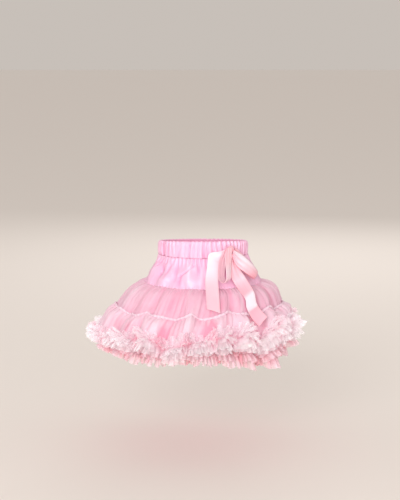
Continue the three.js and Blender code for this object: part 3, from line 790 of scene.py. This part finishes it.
# centre lines: degrees round, height, lift off the cloth, slant of the width, turn off the cloth, width
ribbonRoutes = {
    "bow_loop_left": [
        (31, -8, 12.5, 0, -10, 13), (29, -18, 17, 0, -24, 20), (27, -34, 20, 0, -38, 24),
        (24.8, -50, 22, 0, -46, 25), (23, -60, 22.5, 0, -48, 25), (20.6, -65, 19, 0, -48, 25),
        (18, -60, 15.8, 0, -46, 25), (19.5, -42, 14, 0, -36, 23), (23.5, -25, 12, 0, -24, 18),
        (28, -14, 9.5, 0, -8, 12),
    ],
    "bow_loop_right": [
        (35.5, -17, 12.5, 72, 0, 13), (41, -27, 17, 60, -6, 24), (48.5, -40, 19, 50, -10, 27),
        (56.5, -53, 17, 46, -8, 24), (61.5, -61, 12.5, 44, 0, 19), (60.5, -57, 9.5, 42, 4, 22),
        (53, -41, 8.5, 44, 6, 24), (45.5, -23, 7.5, 50, 4, 17), (40.5, -12, 8, 60, 0, 8),
    ],
    "bow_tail_left": [
        (28.5, -15, 7.3, -85, 0, 9), (22.5, -20.5, 6.5, -68, 0, 17), (15.2, -25.5, 5.8, -40, 0, 32),
        (12.9, -34, 5.6, -6, 0, 26.5), (11, -45, 6.4, 1, 0, 25), (8.6, -62, 8.5, 1, 3, 25),
        (7.6, -86, 10, -2, 6, 25), (8.6, -112, 10, -6, 6, 25),
    ],
    "bow_tail_right": [
        (36, -22, 8, 10, 0, 9), (35.5, -40, 8, 16, 0, 19), (36, -57, 10, 24, 6, 25),
        (37, -74, 18.5, 28, 10, 25), (36, -91, 17.5, 22, -8, 25), (36, -107, 13, 16, -6, 25),
        (38.5, -122, 13, 36, 0, 25), (40.8, -137, 13.5, 50, 0, 26),
    ],
}


def onSkirt(angle, height, lift):
    # a point off the skirt's plain outer surface, from the rings at that height, and the level way out of it
    profile = np.concatenate([rings[name] for name in ("waistband", "yoke", "upperTier", "lowerTier")])
    halfWidth = np.interp(-height, -profile[:, 0], profile[:, 1])
    halfDepth = np.interp(-height, -profile[:, 0], profile[:, 2])
    row = np.array([[height, halfWidth, halfDepth, 0, 0]], float)
    around = np.array([math.radians(angle)])
    point = onRings(row, around[None])[0, 0]
    out = outwards(around, np.array([halfWidth]), np.array([halfDepth]))[0]
    return point + out * lift, out


def curveThrough(rows, steps):
    # a centripetal Catmull-Rom curve through the rows' first three columns, carrying the others along: knots
    # are a square root of the distance apart, and each tangent weighs the slopes beside it by the other's gap
    rows = np.array(rows, float)
    knots = np.concatenate([[0], np.cumsum(np.linalg.norm(np.diff(rows[:, :3], axis=0), axis=1) ** 0.5)])
    gaps = np.diff(knots)
    slopes = np.diff(rows, axis=0) / gaps[:, None]
    tangents = np.zeros_like(rows)
    before, after = gaps[:-1, None], gaps[1:, None]
    tangents[1:-1] = (slopes[:-1] * after + slopes[1:] * before) / (before + after)
    tangents[0], tangents[-1] = slopes[0], slopes[-1]
    return cubicThrough(rows, tangents, knots, gaps, steps)


ribbonPlan = {
    "width": 25, "steps": 120, "across": 17, "thickness": 0.45,
    "cutFrom": 0.85, "cutRun": 0.15,  # shares of the length: where the slant of the cut end starts, its run
    # by piece: cup across the width, pleats at the knot and how far they run, whether both ends are pleated, how
    # far aslant the end is cut, how much the painted sheen changes from edge to edge, and how the painted sheen
    # and shade lie along the ribbon, from 0, deep, to 1, nearly white
    "bow_loop_left": {"cup": 1.2, "pleat": 0.5, "run": 0.2, "bothEnds": True, "cut": 0, "paintedSheenAcross": 0.12,
                      "sheen": [(0, 0.35), (0.12, 0.45), (0.22, 0.6), (0.32, 1), (0.42, 0.9), (0.5, 0.65),
                                (0.6, 0.7), (1, 0.7)]},
    "bow_loop_right": {"cup": 2.4, "pleat": 0.9, "run": 0.25, "bothEnds": True, "cut": 0, "paintedSheenAcross": 0.4,
                       "sheen": [(0, 0.1), (0.08, 0.4), (0.22, 0.75), (0.34, 0.6), (0.46, 0.15), (0.55, 0.1),
                                 (1, 0.1)]},
    "bow_tail_left": {"cup": 0.7, "pleat": 0.8, "run": 0.1, "bothEnds": False, "cut": 3, "paintedSheenAcross": 0.05,
                      "sheen": [(0, 0.5), (0.15, 0.9), (0.45, 0.9), (0.7, 0.55), (0.85, 0.4), (1, 0.38)]},
    "bow_tail_right": {"cup": 0.8, "pleat": 1.0, "run": 0.25, "bothEnds": False, "cut": 2, "paintedSheenAcross": 0.12,
                       "sheen": [(0, 0.2), (0.26, 0.35), (0.34, 0.6), (0.42, 0.25), (0.53, 0.25), (0.59, 1),
                                 (0.7, 1.1), (0.77, 0.8), (0.8, 0.05), (1, 0.2)]},
}


def buildRibbon(name, route):
    # a strip carried along its route: the width lies along the slanted and turned way, is cupped as one less
    # the square across it, waves a little as a sine, and is pleated as a cosine that dies out from the knot
    plan, look = ribbonPlan, ribbonPlan[name]
    placed = []
    for angle, height, lift, slant, turn, width in route:
        point, out = onSkirt(angle, height, lift)
        level = np.cross(up, out)
        slant, turn = math.radians(slant), math.radians(turn)
        flat = level * math.cos(slant) + up * math.sin(slant)
        placed.append([*point, *((flat * math.cos(turn) + out * math.sin(turn)) * width / 2)])
    path = curveThrough(placed, plan["steps"])
    centre, half = path[:, :3], path[:, 3:]
    s = np.linspace(-1, 1, plan["across"])[None, :, None]
    points = centre[:, None] + half[:, None] * s
    along = np.gradient(centre, axis=0)
    along = along / np.linalg.norm(along, axis=1, keepdims=True)
    t = np.linspace(0, 1, plan["steps"])[:, None]
    aslant = look["cut"] * np.clip((t - plan["cutFrom"]) / plan["cutRun"], 0, 1)[..., None] * s
    points = points + along[:, None] * aslant
    normal = np.cross(along, half)
    normal = normal / np.linalg.norm(normal, axis=1, keepdims=True)
    ends = np.exp(-t / look["run"]) + (np.exp(-(1 - t) / look["run"]) if look["bothEnds"] else 0)
    across = s[..., 0]
    field = look["cup"] * (1 - across**2) * (1 - 0.5 * ends)
    field = field + look["pleat"] * ends * np.cos(2.6 * np.pi * across + 0.6)
    field = field + 0.35 * np.sin(9 * t + 2 * across) * (1 - ends)
    points = points + normal[:, None] * field[..., None]
    piece = makePiece(name + "_satin", points, False, ribbonPink)
    thicken(piece, plan["thickness"], 0)
    # painted sheen and shade: highlight bands and shaded stretches laid along the ribbon, one edge paler than
    # the other
    sheenAt, sheenIs = np.array(look["sheen"]).T
    shade(piece.data, "sheen", np.interp(t, sheenAt, sheenIs) + look["paintedSheenAcross"] * across)
    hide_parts(name)


def buildKnot(plan):
    # the bunched ribbon: an ellipsoid whose sides are pleated from top to bottom by two cosines round it
    around = roundAngles(plan["columns"])[None]
    pole = np.linspace(plan["open"], np.pi - plan["open"], plan["rows"])[:, None]
    bands = 1 + 0.07 * np.cos(8 * around + 0.8 * np.cos(pole)) + 0.04 * np.sin(13 * around)
    x = plan["halfWidth"] * np.sin(pole) * np.sin(around) * bands
    y = -plan["halfDepth"] * np.sin(pole) * np.cos(around) * bands
    z = plan["halfHeight"] * np.cos(pole) * np.ones_like(around)
    turn = math.radians(plan["angle"])
    cosine, sine = math.cos(turn), math.sin(turn)
    points = np.stack([x * cosine - y * sine, x * sine + y * cosine, z], -1)
    centre, _ = onSkirt(plan["angle"], plan["height"], plan["lift"])
    points = points + centre
    # one more row at each pole closes the ball to a point
    top = np.repeat(points[:1].mean(1, keepdims=True), points.shape[1], 1)
    end = np.repeat(points[-1:].mean(1, keepdims=True), points.shape[1], 1)
    piece = makePiece("bow_knot_satin", np.concatenate([top, points, end], 0), True, ribbonPink)
    # painted shade: the knot's sheen number is low, so it is deep salmon all over
    shade(piece.data, "sheen", np.full(len(piece.data.vertices), plan["sheen"]))
    mergeDoubles(piece.data)
    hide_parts("bow_knot")


# build
buildWaistband(waistbandPlan)
buildYoke(yokePlan)
print("satin made")

upperTier, upperPoints = buildTier("upper_net_tier", "upper_tier", "upperTier", upperPlan, netPink)
lowerTier, lowerPoints = buildTier("lower_net_tier", "lower_tier", "lowerTier", lowerPlan, netPale)
underLayer, underPoints = buildTier(
    "under_net_layer", "underskirt", "underskirt", underPlan, netDeep)
tierRoll = seamRoll("tier_seam_roll", rings["lowerTier"][0], rollPlan, netPale)
print("net made")

for count, halves in enumerate(hemRuffle["strips"]):
    buildRuffle(f"hem_ruffle_{count + 1}", hemSeam, halves, hemRuffle, rufflePink, 100 + 40 * count)
for count, halves in enumerate(underRuffle["strips"]):
    buildRuffle(f"under_ruffle_{count + 1}", underSeam, halves, underRuffle, ruffleDeep, 300 + 40 * count)
print("ruffles made")

for name, route in ribbonRoutes.items():
    buildRibbon(name, route)
buildKnot(knotPlan)
print("bow made")

# floor, light and camera, in metres
studio = {
    "floorHeight": -0.407, "floorSize": 40, "floor": linear(232, 224, 217), "floorRoughness": 0.9,
    # power in watts, place, size
    "lights": {
        "key": (138, (-1.3, -4.6, 1.4), 2.2), "fill": (62, (0.9, -4.6, 0.5), 2.6),
        "back": (14, (0.4, 2.6, 1.2), 1.6),
    },
    "aim": (0, 0, -0.1),
    "world": 0.72, "horizon": linear(231, 222, 214), "overhead": linear(255, 250, 246), "overheadFrom": 0.7,
}
cameraPlan = {
    "lens": 107.28, "sensor": 36, "place": (-0.00576, -2.85844, 0.43309), "looksDown": 9.0, "farthest": 100,
}


def makeFloor():
    # a plain square under the skirt
    half = studio["floorSize"] / 2
    z = studio["floorHeight"]
    corners = [(-half, -half, z), (half, -half, z), (half, half, z), (-half, half, z)]
    mesh = bpy.data.meshes.new("floor")
    mesh.from_pydata(corners, [], [(0, 1, 2, 3)])
    material, _, _, shader = newMaterial("pale_floor")
    setSockets(shader, {"Base Color": studio["floor"], "Roughness": studio["floorRoughness"]})
    mesh.materials.append(material)
    floor = bpy.data.objects.new("floor", mesh)
    bpy.context.collection.objects.link(floor)


def areaLight(name, power, place, size):
    # a square light turned to the middle of the skirt
    light = bpy.data.lights.new(name, "AREA")
    light.energy, light.shape, light.size = power, "SQUARE", size
    thing = bpy.data.objects.new(name, light)
    thing.location = place
    aim = Vector(studio["aim"]) - Vector(place)
    thing.rotation_euler = aim.to_track_quat("-Z", "Y").to_euler()
    bpy.context.collection.objects.link(thing)


def makeWorld():
    # brighter overhead than at the horizon
    world = bpy.data.worlds.new("studio")
    world.use_nodes = True
    nodes, links = world.node_tree.nodes, world.node_tree.links
    coords = nodes.new("ShaderNodeTexCoord")
    parts = nodes.new("ShaderNodeSeparateXYZ")
    tones = ramp(nodes, [(0.0, studio["horizon"]), (studio["overheadFrom"], studio["overhead"])])
    background = nodes["Background"]
    links.new(coords.outputs["Generated"], parts.inputs["Vector"])
    links.new(parts.outputs["Z"], tones.inputs["Fac"])
    links.new(tones.outputs["Color"], background.inputs["Color"])
    background.inputs["Strength"].default_value = studio["world"]
    bpy.context.scene.world = world


def makeCamera(plan):
    # level across, turned down from straight ahead
    camera = bpy.data.cameras.new("camera")
    camera.lens, camera.sensor_width, camera.sensor_fit = plan["lens"], plan["sensor"], "AUTO"
    camera.clip_end = plan["farthest"]
    thing = bpy.data.objects.new("camera", camera)
    thing.location = plan["place"]
    thing.rotation_euler = (math.radians(90 - plan["looksDown"]), 0, 0)
    bpy.context.collection.objects.link(thing)
    bpy.context.scene.camera = thing


makeFloor()
for name, (power, place, size) in studio["lights"].items():
    areaLight(name, power, place, size)
makeWorld()
makeCamera(cameraPlan)
bpy.context.scene.view_settings.view_transform = "Standard"
bpy.context.scene.cycles.transparent_max_bounces = 32  # the ruffles are many thin layers deep
print("studio made")
